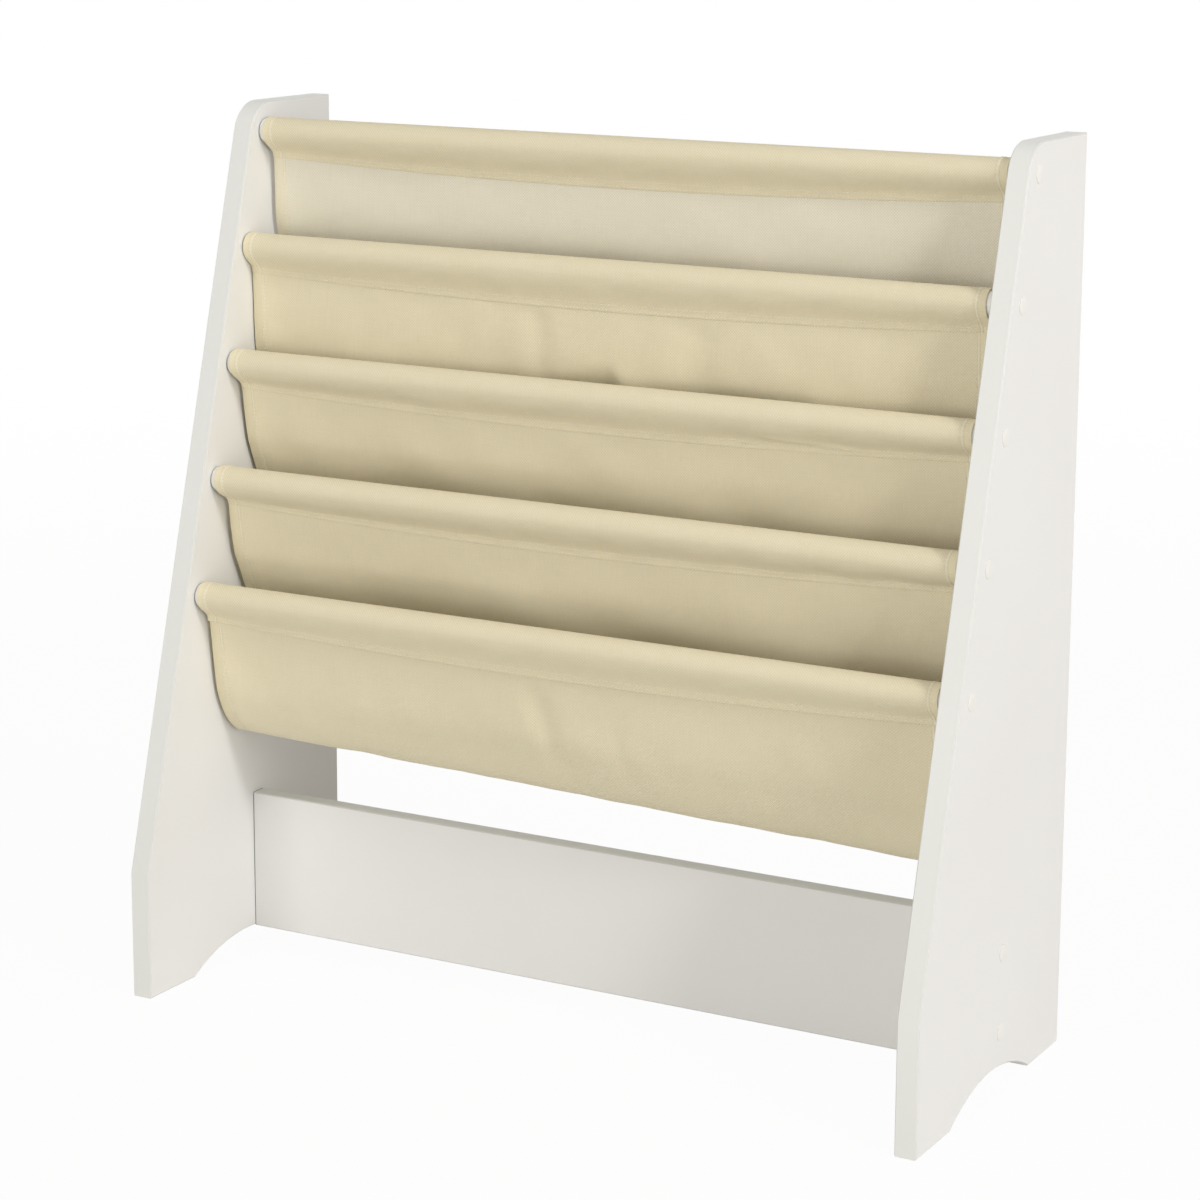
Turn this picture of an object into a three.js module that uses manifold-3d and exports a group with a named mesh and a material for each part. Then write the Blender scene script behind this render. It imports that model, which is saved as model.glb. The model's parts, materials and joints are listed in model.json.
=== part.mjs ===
// A children's sling bookshelf: two board sides, a low cross board, five round rods,
// and one long cloth whose sleeves hang on the rods and whose slack between them makes
// four book pockets. Each rod and the cross board are screwed through the sides, and a
// white cover cap hides every screw head.
//
// Millimetres, +Z up, +X to the right of someone who faces the shelf, +Y to its back.
// The origin is on the floor, under the middle of the footprint.

import * as THREE from "three";
import { mergeVertices } from "three/addons/utils/BufferGeometryUtils.js";
import Module from "manifold-3d";

const wasm = await Module();
wasm.setup();

// Overall size
const shelfWidth = 710;
const shelfDepth = 280;
const shelfHeight = 730;

// Side boards
const sideThickness = 18;
const kneeHeight = 106; // the front edge stands upright up to here
const topDepth = 110; // from the back edge to where slope and top would meet
const topCornerRadius = 30;
const footLength = 62; // each of the two feet under a side
const archHeight = 21; // the cut between the feet
const edgeRounding = 1;

// Cross board between the sides
const crossBoardThickness = 15;
const crossBoardHeight = 120;
const crossBoardClearance = 20; // above the floor
const crossBoardSetback = 150; // its front face, from the front of the feet
const crossScrewInset = 28; // from its top and bottom edges to the screws

// Rods, counted from the top
const rodCount = 5;
const rodRadius = 10;
const rodPitch = 94.5; // height from one rod to the next
const topRodDrop = 24; // from the top of the sides to the top rod's centre
const rodSetback = 20; // square to the sloping front edge
const rodChamfer = 0.8;

// Screws and their cover caps
const screwRadius = 2.2;
const screwHeadRadius = 4.6;
const screwHeadHeight = 3;
const screwReach = 48; // below the head
const screwTip = 4;
const socketRadius = 2;
const socketDepth = 1.6;
const screwClearance = 0.3;
const capRadius = 7;
const capThickness = 1.4;
const capRim = 0.5; // the upright part of its edge
const capStemRadius = 1.6;
const capStemLength = 1.2;

// Cloth
const clothThickness = 1.2;
const clothGap = 0.5; // between two layers of cloth
const rodGap = 0.8; // between a sleeve and its rod
const seamGap = 0.8; // between a stitched band and the sheets under it
const clothInset = 4; // from each side board to the cloth's edge
const seamDrop = 22; // the rod's centre to the seam under it, at the cloth's edges
const seamSag = 8.5; // the seam hangs lower by this in the middle
const seamBand = 8; // height of the stitched band above the seam
const seamSetback = 7; // the pockets pull the seam back from under the rod's centre
const creaseDrop = 68; // the sheets under a rod bend back here
const creaseSoftness = 6; // half the height over which they bend
const partingDrop = 102; // they hang together down to here
const partingStep = 4.6; // from one to the other there, middle to middle
const foldDepth = 3.5; // of the deepest upright fold in them
const pocketDrop = 128; // the rod in front of a pocket to the pocket's bottom
const pocketReach = 96; // that rod to the rear wall's furthest bulge behind it
// The sheets under each rod, top rod first: the pull on the seam, how far they go back
// for each height that they fall, above the crease and below it, and the folds: their
// depth, how many half waves lie across half the cloth, and the share of one by which
// they are moved.
const seamBackShares = [0.9, 0.5, 1.15, 1.4, 0.75];
const upperLeanShares = [0.05, 0.05, 0.17, 0.18, 0.12];
const lowerLeanShares = [0.22, 0.14, 0.37, 0.49, 0.25];
const foldDepthShares = [0.4, 0.75, 0.75, 1, 0.6];
const foldCounts = [2, 3, 4, 3, 2];
const foldShiftShares = [0.3, 0.9, 0.2, 1.4, 0.6];
// Each pocket, top one first, as shares of the drop and of the reach: its bottom at the
// cloth's left and right edges, and the height and the reach of its bulge.
const pocketShares = [
  { leftDrop: 0.985, rightDrop: 1.015, bottomBack: 0.36, bulgeBack: 0.58, bulgeDrop: 0.69 },
  { leftDrop: 1, rightDrop: 0.99, bottomBack: 0.54, bulgeBack: 0.77, bulgeDrop: 0.72 },
  { leftDrop: 0.99, rightDrop: 1.025, bottomBack: 0.69, bulgeBack: 1, bulgeDrop: 0.735 },
  { leftDrop: 0.99, rightDrop: 1.13, bottomBack: 0.56, bulgeBack: 0.98, bulgeDrop: 0.75 },
];
const bendPullShare = 0.38; // how far a bend keeps its direction at either end
const partingPullShares = { rearWall: 0.52, frontWall: 0.3 }; // and where two sheets part

// How finely round things are divided
const archSteps = 28;
const cornerSteps = 12;
const rodSteps = 24;
const screwSteps = 12;
const capSteps = 16;
const sleeveSteps = 16;
const hangSteps = 7;
const bendSteps = 5;
const sleeveStations = 7;
const pocketStations = 11;
const cutOverrun = 1;

// Places that follow from the sizes
const innerHalf = shelfWidth / 2 - sideThickness;
const slopeRun = shelfDepth - topDepth;
const slopeRise = shelfHeight - kneeHeight;
const slopeLength = Math.hypot(slopeRun, slopeRise);
const backPerHeight = slopeRun / slopeRise;
const clothHalf = innerHalf - clothInset;
const sleeveInner = rodRadius + rodGap;
const sleeveOuter = sleeveInner + clothThickness;
const layerStep = clothThickness + clothGap;

const paint = (color, roughness) =>
  new THREE.MeshStandardMaterial({ color, roughness, metalness: 0 });
const boardWhite = paint(0xefeee9, 0.45);
const rodWhite = paint(0xf2f2f0, 0.4);
const capWhite = paint(0xf4f3ef, 0.35);
const clothCream = paint(0xd8cda6, 0.9);
const screwSteel = new THREE.MeshStandardMaterial({
  color: 0xb9bbbd,
  roughness: 0.35,
  metalness: 1,
});

// Everything below is placed from the front of the feet, and the group moves it back.
const shelf = new THREE.Group();
shelf.name = "sling_bookshelf";
shelf.position.y = -shelfDepth / 2;

function add(name, geometry, material) {
  const mesh = new THREE.Mesh(geometry, material);
  mesh.name = name;
  shelf.add(mesh);
  return mesh;
}

// Profiles are drawn in the side view, Y across and Z up, and carried along X.
const sideView = new THREE.Matrix4().makeBasis(
  new THREE.Vector3(0, 1, 0),
  new THREE.Vector3(0, 0, 1),
  new THREE.Vector3(1, 0, 0),
);

function solidOf(geometry) {
  const bare = geometry.clone();
  bare.deleteAttribute("normal");
  bare.deleteAttribute("uv");
  const merged = mergeVertices(bare);
  return new wasm.Manifold(
    new wasm.Mesh({
      numProp: 3,
      vertProperties: new Float32Array(merged.attributes.position.array),
      triVerts: new Uint32Array(merged.index.array),
    }),
  );
}

function geometryOf(solid) {
  const mesh = solid.getMesh();
  const geometry = new THREE.BufferGeometry();
  geometry.setAttribute(
    "position",
    new THREE.BufferAttribute(mesh.vertProperties, mesh.numProp),
  );
  geometry.setIndex(new THREE.BufferAttribute(mesh.triVerts, 1));
  geometry.computeVertexNormals();
  return geometry;
}

// A round bar along X, from one place to another, to cut holes with.
function barAlongX(radius, fromX, toX, y, z) {
  const bar = new THREE.CylinderGeometry(radius, radius, toX - fromX, screwSteps);
  bar.rotateZ(Math.PI / 2);
  bar.translate((fromX + toX) / 2, y, z);
  return solidOf(bar);
}

// The rods stand in a line parallel to the sloping front edge.
function rodPlace(index) {
  const z = shelfHeight - topRodDrop - index * rodPitch;
  const edge = (z - kneeHeight) * backPerHeight;
  return { y: edge + (rodSetback * slopeLength) / slopeRise, z };
}
const rods = Array.from({ length: rodCount }, (_, index) => rodPlace(index));

// The cross board's screws, lower one first.
const crossScrewY = crossBoardSetback + crossBoardThickness / 2;
const crossScrews = [
  crossBoardClearance + crossScrewInset,
  crossBoardClearance + crossBoardHeight - crossScrewInset,
].map((z) => ({ y: crossScrewY, z }));

// Side board: outline with an upright toe, a sloping front, a round top corner, and an
// arch that leaves two feet. Its left-hand twin is the same board turned to the other side.
function sideOutline() {
  const outline = new THREE.Shape();
  const archHalf = shelfDepth / 2 - footLength;
  const archRadius = (archHalf ** 2 + archHeight ** 2) / (2 * archHeight);
  const archSweep = Math.asin(archHalf / archRadius);
  const cornerTurn = Math.atan2(slopeRise, slopeRun); // from the top edge to the slope
  const tangent = topCornerRadius * Math.tan(cornerTurn / 2);
  outline.moveTo(0, 0);
  outline.lineTo(footLength, 0);
  for (let step = 1; step < archSteps; step += 1) {
    const angle = archSweep * ((2 * step) / archSteps - 1);
    outline.lineTo(
      shelfDepth / 2 + archRadius * Math.sin(angle),
      archHeight - archRadius * (1 - Math.cos(angle)),
    );
  }
  outline.lineTo(shelfDepth - footLength, 0);
  outline.lineTo(shelfDepth, 0);
  outline.lineTo(shelfDepth, shelfHeight);
  outline.absarc(
    slopeRun + tangent,
    shelfHeight - topCornerRadius,
    topCornerRadius,
    Math.PI / 2,
    Math.PI / 2 + cornerTurn,
    false,
  );
  outline.lineTo(0, kneeHeight);
  outline.closePath();
  return outline;
}

function sideBoard(hand) {
  const board = new THREE.ExtrudeGeometry(sideOutline(), {
    depth: sideThickness - 2 * edgeRounding,
    curveSegments: cornerSteps,
    bevelThickness: edgeRounding,
    bevelSize: edgeRounding,
    bevelOffset: -edgeRounding,
    bevelSegments: 1,
  });
  board.translate(0, 0, innerHalf + edgeRounding);
  board.applyMatrix4(sideView);
  let solid = solidOf(board);
  const outerFace = shelfWidth / 2;
  const headSeat = outerFace - screwHeadHeight - screwClearance;
  for (const { y, z } of [...rods, ...crossScrews]) {
    const shank = barAlongX(
      screwRadius + screwClearance,
      innerHalf - cutOverrun,
      outerFace + cutOverrun,
      y,
      z,
    );
    const head = barAlongX(
      screwHeadRadius + screwClearance,
      headSeat - screwClearance,
      outerFace + cutOverrun,
      y,
      z,
    );
    solid = solid.subtract(shank).subtract(head);
  }
  const geometry = geometryOf(solid);
  if (hand < 0) mirrorAcrossX(geometry);
  return geometry;
}

// The same shape on the other side: X changes sign and each face is turned round.
function mirrorAcrossX(geometry) {
  geometry.scale(-1, 1, 1);
  const corners = geometry.index.array;
  for (let face = 0; face < corners.length; face += 3) {
    [corners[face + 1], corners[face + 2]] = [corners[face + 2], corners[face + 1]];
  }
  geometry.computeVertexNormals();
}

function crossBoard() {
  const outline = new THREE.Shape();
  const half = {
    y: crossBoardThickness / 2 - edgeRounding,
    z: crossBoardHeight / 2 - edgeRounding,
  };
  const corner = edgeRounding;
  outline.moveTo(-half.y, -half.z - corner);
  outline.lineTo(half.y, -half.z - corner);
  outline.lineTo(half.y + corner, -half.z);
  outline.lineTo(half.y + corner, half.z);
  outline.lineTo(half.y, half.z + corner);
  outline.lineTo(-half.y, half.z + corner);
  outline.lineTo(-half.y - corner, half.z);
  outline.lineTo(-half.y - corner, -half.z);
  outline.closePath();
  const board = new THREE.ExtrudeGeometry(outline, {
    depth: 2 * innerHalf,
    bevelEnabled: false,
  });
  board.translate(crossScrewY, crossBoardClearance + crossBoardHeight / 2, -innerHalf);
  board.applyMatrix4(sideView);
  let solid = solidOf(board);
  for (const { y, z } of crossScrews) {
    for (const hand of [-1, 1]) {
      const [fromX, toX] = pilotSpan(hand);
      const pilot = barAlongX(screwRadius + screwClearance, fromX, toX, y, z);
      solid = solid.subtract(pilot);
    }
  }
  return geometryOf(solid);
}

// How deep a screw reaches past the inner face of a side board.
const screwBite =
  screwReach + screwHeadHeight + screwClearance - sideThickness + screwClearance;

function pilotSpan(hand) {
  const deep = innerHalf - screwBite;
  const out = innerHalf + cutOverrun;
  return hand > 0 ? [deep, out] : [-out, -deep];
}

// Rod: a round bar with chamfered ends and a pilot hole for a screw in each.
function rod() {
  const hole = screwRadius + screwClearance;
  const profile = [
    [0, screwBite],
    [hole, screwBite],
    [hole, 0],
    [rodRadius - rodChamfer, 0],
    [rodRadius, rodChamfer],
  ];
  const firstEnd = profile.map(([r, x]) => new THREE.Vector2(r, x - innerHalf));
  const otherEnd = profile
    .map(([r, x]) => new THREE.Vector2(r, innerHalf - x))
    .reverse();
  const bar = new THREE.LatheGeometry([...firstEnd, ...otherEnd], rodSteps);
  bar.rotateZ(-Math.PI / 2);
  return bar;
}

// Screw along X with its head outwards, at the origin of its head's outer face.
function screw() {
  const neck = -screwHeadHeight;
  const end = neck - screwReach;
  const profile = [
    [0, end],
    [screwRadius, end + screwTip],
    [screwRadius, neck],
    [screwHeadRadius, neck],
    [screwHeadRadius, 0],
    [socketRadius, 0],
    [socketRadius, -socketDepth],
    [0, -socketDepth],
  ].map(([r, x]) => new THREE.Vector2(r, x));
  const turned = new THREE.LatheGeometry(profile, screwSteps);
  turned.rotateZ(-Math.PI / 2);
  return turned;
}

// Cover cap along X: a shallow dome on the board with a stem in the screw's socket.
function coverCap() {
  const profile = [
    [0, -capStemLength],
    [capStemRadius, -capStemLength],
    [capStemRadius, 0],
    [capRadius, 0],
    [capRadius, capRim],
    [capRadius * Math.cos(Math.PI / 6), (capRim + capThickness) / 2],
    [capRadius / 2, capThickness],
    [0, capThickness],
  ].map(([r, x]) => new THREE.Vector2(r, x));
  const turned = new THREE.LatheGeometry(profile, capSteps);
  turned.rotateZ(-Math.PI / 2);
  return turned;
}

// A solid carried along X. section(x) gives closed loops of side-view points, the outer
// one anticlockwise and holes clockwise, with as many points at every station.
function loft(stations, section) {
  const sections = stations.map(section);
  const loops = sections[0];
  const perStation = loops.reduce((sum, loop) => sum + loop.length, 0);
  const positions = sections.flatMap((loopsHere, index) =>
    loopsHere.flat().flatMap((p) => [stations[index], p.x, p.y]),
  );
  const faces = [];
  for (let station = 0; station + 1 < stations.length; station += 1) {
    let first = station * perStation;
    for (const loop of loops) {
      for (let step = 0; step < loop.length; step += 1) {
        const a = first + step;
        const b = first + ((step + 1) % loop.length);
        faces.push(a, b, a + perStation, b, b + perStation, a + perStation);
      }
      first += loop.length;
    }
  }
  const [outer, ...holes] = loops;
  const farCap = (stations.length - 1) * perStation;
  for (const [a, b, c] of THREE.ShapeUtils.triangulateShape(outer, holes)) {
    faces.push(a, c, b, farCap + a, farCap + b, farCap + c);
  }
  const geometry = new THREE.BufferGeometry();
  geometry.setAttribute("position", new THREE.Float32BufferAttribute(positions, 3));
  geometry.setIndex(faces);
  geometry.computeVertexNormals();
  return geometry;
}

function stationsAlong(count) {
  return Array.from(
    { length: count },
    (_, index) => clothHalf * ((2 * index) / (count - 1) - 1),
  );
}

// The seam sags like a shallow bow between the cloth's edges.
function seamDropAt(x) {
  return seamDrop + seamSag * (1 - (x / clothHalf) ** 2);
}

// Sleeve: the cloth goes round the rod and its two layers meet in the stitched band.
function sleeve(place, index) {
  const seamBack = seamSetback * seamBackShares[index];
  return loft(stationsAlong(sleeveStations), (x) => {
    const seam = seamDropAt(x);
    const bandTop = seam - seamBand;
    const halfBand = clothThickness + clothGap / 2;
    const around = (radius, half, bottom) => {
      const reach = Math.hypot(bandTop, seamBack);
      const tilt = Math.atan2(seamBack, -bandTop);
      const wrap = Math.acos(Math.min(1, (radius - half) / reach));
      const points = [];
      for (let step = 0; step <= sleeveSteps; step += 1) {
        const turn = wrap + (2 * (Math.PI - wrap) * step) / sleeveSteps;
        // turn runs from the front tangent, over the top, to the rear one
        points.push(
          new THREE.Vector2(
            radius * Math.sin(tilt + turn),
            radius * Math.cos(tilt + turn),
          ),
        );
      }
      return [...points, ...bottom];
    };
    const band = (half, z) => [
      new THREE.Vector2(seamBack + half, z),
      new THREE.Vector2(seamBack - half, z),
    ];
    const outer = around(sleeveOuter, halfBand, [
      ...band(halfBand, -bandTop).slice(0, 1),
      ...band(halfBand, -seam),
      ...band(halfBand, -bandTop).slice(1),
    ]);
    const inner = around(sleeveInner, clothGap / 2, band(clothGap / 2, -bandTop));
    return [outer, inner].map((loop) => {
      const clockwise = THREE.ShapeUtils.isClockWise(loop);
      const wanted = loop === outer ? !clockwise : clockwise;
      const ordered = wanted ? loop : [...loop].reverse();
      return ordered.map((p) => new THREE.Vector2(p.x + place.y, p.y + place.z));
    });
  });
}

// Below a rod, two sheets hang side by side: the front wall of the pocket behind it and,
// in front of that, the rear wall of its own pocket. Both lean back a little, and past a
// crease they lean back more, down to the place where they part. The crease is a smooth
// step from one lean to the other, and upright folds grow from nothing at the seam.
function hangingPoint(index, x, share, layer) {
  const seam = seamDropAt(x) + seamGap;
  const fall = partingDrop - seam;
  const softStep = (drop) => Math.exp((drop - creaseDrop) / creaseSoftness);
  const passed = softStep(seam + share * fall);
  const bentFall = creaseSoftness * (Math.log1p(passed) - Math.log1p(softStep(seam)));
  const upperLean = upperLeanShares[index];
  const moreLean = lowerLeanShares[index] - upperLean;
  const turn = Math.PI * (foldCounts[index] * (x / clothHalf) + foldShiftShares[index]);
  const fold = foldDepth * foldDepthShares[index] * Math.cos(turn);
  const seamBack = seamSetback * seamBackShares[index];
  const lag = upperLean * share * fall + moreLean * bentFall + fold * share ** 2;
  const lean = upperLean + (moreLean * passed) / (1 + passed) + (2 * fold * share) / fall;
  const slope = new THREE.Vector2(lean, -1).normalize();
  const reach = (layer * THREE.MathUtils.lerp(layerStep, partingStep, share)) / 2;
  return {
    at: new THREE.Vector2(
      rods[index].y + seamBack + lag - slope.y * reach,
      rods[index].z - seam - share * fall + slope.x * reach,
    ),
    slope,
  };
}

const frontLayer = -1;
const rearLayer = 1;

// A smooth bend between two points that leaves and arrives in given directions.
function bend(from, leave, to, arrive, pullShares = [bendPullShare, bendPullShare]) {
  const [leavePull, arrivePull] = pullShares.map((share) => share * from.distanceTo(to));
  return new THREE.CubicBezierCurve(
    from,
    leave.clone().multiplyScalar(leavePull).add(from),
    arrive.clone().multiplyScalar(-arrivePull).add(to),
    to,
  );
}

// Pocket: the rear wall hangs from the upper rod's seam, bulges back, turns under, and
// climbs as the front wall, behind the lower rod's own sheet, to the lower rod's seam.
function pocketLine(index, x) {
  const { leftDrop, rightDrop, bottomBack, bulgeBack, bulgeDrop } = pocketShares[index];
  const lower = rods[index + 1];
  const dropShare = THREE.MathUtils.mapLinear(x, -clothHalf, clothHalf, leftDrop, rightDrop);
  const behindRod = (backShare, downShare) =>
    new THREE.Vector2(lower.y + backShare * pocketReach, lower.z - downShare * pocketDrop);
  const bulge = behindRod(bulgeBack, bulgeDrop);
  const bottom = behindRod(bottomBack, dropShare);
  const rear = hangingPoint(index, x, 1, frontLayer);
  const front = hangingPoint(index + 1, x, 1, rearLayer);
  const down = new THREE.Vector2(0, -1);
  const forward = new THREE.Vector2(-1, 0);
  const up = front.slope.clone().negate();
  const { rearWall, frontWall } = partingPullShares;
  const bends = [
    bend(rear.at, rear.slope, bulge, down, [rearWall, bendPullShare]),
    bend(bulge, down, bottom, forward),
    bend(bottom, forward, front.at, up, [bendPullShare, frontWall]),
  ];
  const line = [];
  for (let step = 0; step < hangSteps; step += 1) {
    const { at, slope } = hangingPoint(index, x, step / hangSteps, frontLayer);
    line.push({ at, slope });
  }
  for (const curve of bends) {
    for (let step = 0; step < bendSteps; step += 1) {
      const share = step / bendSteps;
      line.push({ at: curve.getPoint(share), slope: curve.getTangent(share) });
    }
  }
  for (let step = hangSteps; step >= 0; step -= 1) {
    const { at, slope } = hangingPoint(index + 1, x, step / hangSteps, rearLayer);
    line.push({ at, slope: slope.negate() });
  }
  return line;
}

function pocket(index) {
  return loft(stationsAlong(pocketStations), (x) => {
    const line = pocketLine(index, x);
    const face = (side) =>
      line.map(({ at, slope }) => {
        const offset = (side * clothThickness) / 2;
        return new THREE.Vector2(at.x - slope.y * offset, at.y + slope.x * offset);
      });
    const loop = [...face(-1), ...face(1).reverse()];
    return [THREE.ShapeUtils.isClockWise(loop) ? loop.reverse() : loop];
  });
}

// Assembly
add("side_board_left", sideBoard(-1), boardWhite);
add("side_board_right", sideBoard(1), boardWhite);
add("cross_board", crossBoard(), boardWhite);

rods.forEach((place, index) => {
  const number = index + 1;
  const bar = add(`rod_${number}`, rod(), rodWhite);
  bar.position.set(0, place.y, place.z);
  add(`cloth_sleeve_${number}`, sleeve(place, index), clothCream);
});

pocketShares.forEach((_, index) => {
  add(`cloth_pocket_${index + 1}`, pocket(index), clothCream);
});

// A screw and its cap at each fixing, on both sides.
const fixings = [
  ...rods.map((place, index) => ({ ...place, name: `rod_${index + 1}` })),
  ...crossScrews.map((place, index) => ({
    ...place,
    name: `cross_board_${index ? "upper" : "lower"}`,
  })),
];
for (const { name, y, z } of fixings) {
  for (const [side, hand] of [
    ["left", -1],
    ["right", 1],
  ]) {
    const turn = hand > 0 ? 0 : Math.PI;
    const fixing = add(`screw_${name}_${side}`, screw(), screwSteel);
    fixing.position.set(hand * (shelfWidth / 2 - screwClearance), y, z);
    fixing.rotation.z = turn;
    const cap = add(`cap_${name}_${side}`, coverCap(), capWhite);
    cap.position.set((hand * shelfWidth) / 2, y, z);
    cap.rotation.z = turn;
  }
}

export default shelf;
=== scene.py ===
# %% [markdown]
# # A sling bookshelf, dressed
#
# The shelf is two white boards, a low cross board, five white rods and one cream cloth
# that hangs on them. The boards, rods, screws and caps already have their real shape in
# the solid model, so they only get a finish here. The cloth is what this lesson is
# about: in the solid model it is a plain sheet of even thickness, and here it gets its
# sewn hems, stitches, creases and weave.

import bpy
import json
import math
import numpy as np
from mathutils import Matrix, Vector

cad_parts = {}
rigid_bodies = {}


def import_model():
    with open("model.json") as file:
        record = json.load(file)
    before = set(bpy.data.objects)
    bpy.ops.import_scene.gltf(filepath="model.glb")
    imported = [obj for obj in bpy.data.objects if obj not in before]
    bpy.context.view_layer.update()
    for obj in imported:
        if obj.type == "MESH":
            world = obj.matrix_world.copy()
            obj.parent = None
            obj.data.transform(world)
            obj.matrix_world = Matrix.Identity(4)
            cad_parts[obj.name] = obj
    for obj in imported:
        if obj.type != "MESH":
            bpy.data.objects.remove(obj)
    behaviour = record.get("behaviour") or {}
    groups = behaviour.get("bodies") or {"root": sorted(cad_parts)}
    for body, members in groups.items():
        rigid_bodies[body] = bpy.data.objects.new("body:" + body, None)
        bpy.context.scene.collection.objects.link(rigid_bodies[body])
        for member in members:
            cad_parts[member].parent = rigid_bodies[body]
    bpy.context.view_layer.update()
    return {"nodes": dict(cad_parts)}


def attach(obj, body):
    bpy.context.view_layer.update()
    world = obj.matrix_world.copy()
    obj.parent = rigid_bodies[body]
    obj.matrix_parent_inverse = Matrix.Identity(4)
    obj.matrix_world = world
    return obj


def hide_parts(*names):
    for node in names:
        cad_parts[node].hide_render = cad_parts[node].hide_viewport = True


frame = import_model()
nodes = frame["nodes"]

# %% [markdown]
# ## Sizes of the real shelf
#
# The cloth hangs from the rods, so the rods' places come first. They stand in a line
# parallel to the sloping front edge of the sides, one pitch apart. The numbers are those
# of the solid model, in metres, and Y is counted from the middle of the depth.

# %% Rods
INNER_HALF = 0.337  # from the middle to the inner face of a side board
HALF_DEPTH = 0.140
ROD_COUNT = 5
ROD_RADIUS = 0.010
ROD_PITCH = 0.0945
TOP_ROD_Z = 0.706
SLOPE_RUN, SLOPE_RISE, SLOPE_FOOT = 0.170, 0.624, 0.106  # of the sides' front edges
ROD_SETBACK = 0.020  # square behind the sloping edge


def rod_place(index):
    """(y, z) of a rod's centre: the sloping edge's y at the rod's height, and the
    setback drawn out along Y."""
    z = TOP_ROD_Z - index * ROD_PITCH
    edge = (z - SLOPE_FOOT) * SLOPE_RUN / SLOPE_RISE - HALF_DEPTH
    return edge + ROD_SETBACK * math.hypot(SLOPE_RUN, SLOPE_RISE) / SLOPE_RISE, z


RODS = np.array([rod_place(index) for index in range(ROD_COUNT)])
print("rods at y, z in millimetres:", (RODS * 1000).round(1).tolist())

# %% [markdown]
# ## How the cloth hangs
#
# The cloth is sewn together under each rod in a band, and its own weight and the pockets
# pull that seam down and a little back, on each rod by a different amount. Below it, two
# layers hang side by side, lean back and bend at a crease. The photograph gives these
# sizes rod by rod: the crease is crisp near the left edge and fades towards the right.

# %% Sizes of the hanging cloth
CLOTH = 0.0007  # thickness of the canvas
CLOTH_HALF = 0.333  # from the middle to the cloth's edges
SLIDES = [0.0006, -0.0028, -0.0006, 0.0006, -0.0004]  # where it sits along each rod
SEAM_DROP = 0.022  # from a rod's centre to the seam under it, at the cloth's edges
SEAM_SAG = 0.0085  # the seam hangs lower by this in the middle
SEAM_BAND = 0.008  # height of the sewn band above the seam
SEAM_BACKS = [0.0063, 0.0035, 0.0080, 0.0098, 0.0053]  # the pull behind the rod's centre
SHEET_START, SLEEVE_END = 0.0003, 0.0004  # how far below the seam the two begin and end
PARTING_DROP = 0.102  # the two layers under a rod part here
LAYER_STEP, PARTING_STEP = 0.0017, 0.0046  # between the layers at the seam and there
# Lean, back for each metre down, above the crease, and below it at the left and right
# edges; the crease's depth under the rod; and its softness at the two edges.
UPPER_LEANS = [0.05, 0.04, 0.17, 0.18, 0.12]
LOWER_LEANS = [(0.24, 0.14), (0.46, 0.46), (0.40, 0.27), (0.50, 0.33), (0.48, 0.42)]
CREASE_DROPS = [0.074, 0.092, 0.066, 0.067, 0.086]
CREASE_SOFTNESS = [
    (0.004, 0.007),
    (0.0025, 0.0035),
    (0.0025, 0.014),
    (0.0025, 0.014),
    (0.005, 0.008),
]
# Upright folds: how deep, how many half waves across half the cloth, and their shift.
FOLD_DEPTHS = [0.0014, 0.0024, 0.0024, 0.0030, 0.0021]
FOLD_COUNTS = [2, 3, 4, 3, 2]
FOLD_SHIFTS = [0.3, 0.9, 0.2, 1.4, 0.6]
SIDEWAYS = (-0.3, 0.9)  # softness and lean change between these, in halves of the cloth
# Humps in a rod's crease, here the second rod's: the middle and the widths to its left
# and right, as shares of half the cloth, and the rise.
HUMPS = {1: [(0.020, 0.130, 0.028, 0.018), (0.27, 0.15, 0.22, 0.009)]}
# Each pocket from the rod in front of it: the drop to its bottom at the left and right
# edge, how far back its bottom and its bulge lie, and how low the bulge is.
POCKETS = [
    (0.126, 0.130, 0.035, 0.056, 0.088),
    (0.128, 0.127, 0.052, 0.074, 0.092),
    (0.127, 0.131, 0.066, 0.096, 0.094),
    (0.127, 0.145, 0.054, 0.094, 0.096),
]
print("cloth", round(2000 * CLOTH_HALF), "mm wide,", len(POCKETS), "pockets")

# %% [markdown]
# ## Turning arrays into meshes
#
# Every new piece here is a surface over a grid of two parameters, worked out as whole
# arrays. Two helpers turn such an array into a mesh: one lists the grid's quads, and the
# other writes points, quads and the UV map into Blender in a few fast calls.

# %% Write a mesh
scene = bpy.context.scene


def new_piece(name, points, quads, uv=None):
    """A smooth mesh object from points (n, 3), quads (m, 4) and one UV pair for each
    point."""
    mesh = bpy.data.meshes.new(name)
    mesh.vertices.add(len(points))
    mesh.vertices.foreach_set("co", np.asarray(points, np.float32).ravel())
    quads = np.asarray(quads, np.int32)
    mesh.loops.add(quads.size)
    mesh.loops.foreach_set("vertex_index", quads.ravel())
    mesh.polygons.add(len(quads))
    width = quads.shape[1]
    mesh.polygons.foreach_set("loop_start", np.arange(0, quads.size, width, dtype=np.int32))
    mesh.polygons.foreach_set("loop_total", np.full(len(quads), width, np.int32))
    mesh.polygons.foreach_set("use_smooth", np.full(len(quads), True))
    if uv is not None:
        layer = mesh.uv_layers.new(name="UVMap")
        layer.data.foreach_set("uv", np.asarray(uv, np.float32)[quads.ravel()].ravel())
    mesh.update()
    mesh.validate()
    piece = bpy.data.objects.new(name, mesh)
    scene.collection.objects.link(piece)
    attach(piece, "root")
    return piece


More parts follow.
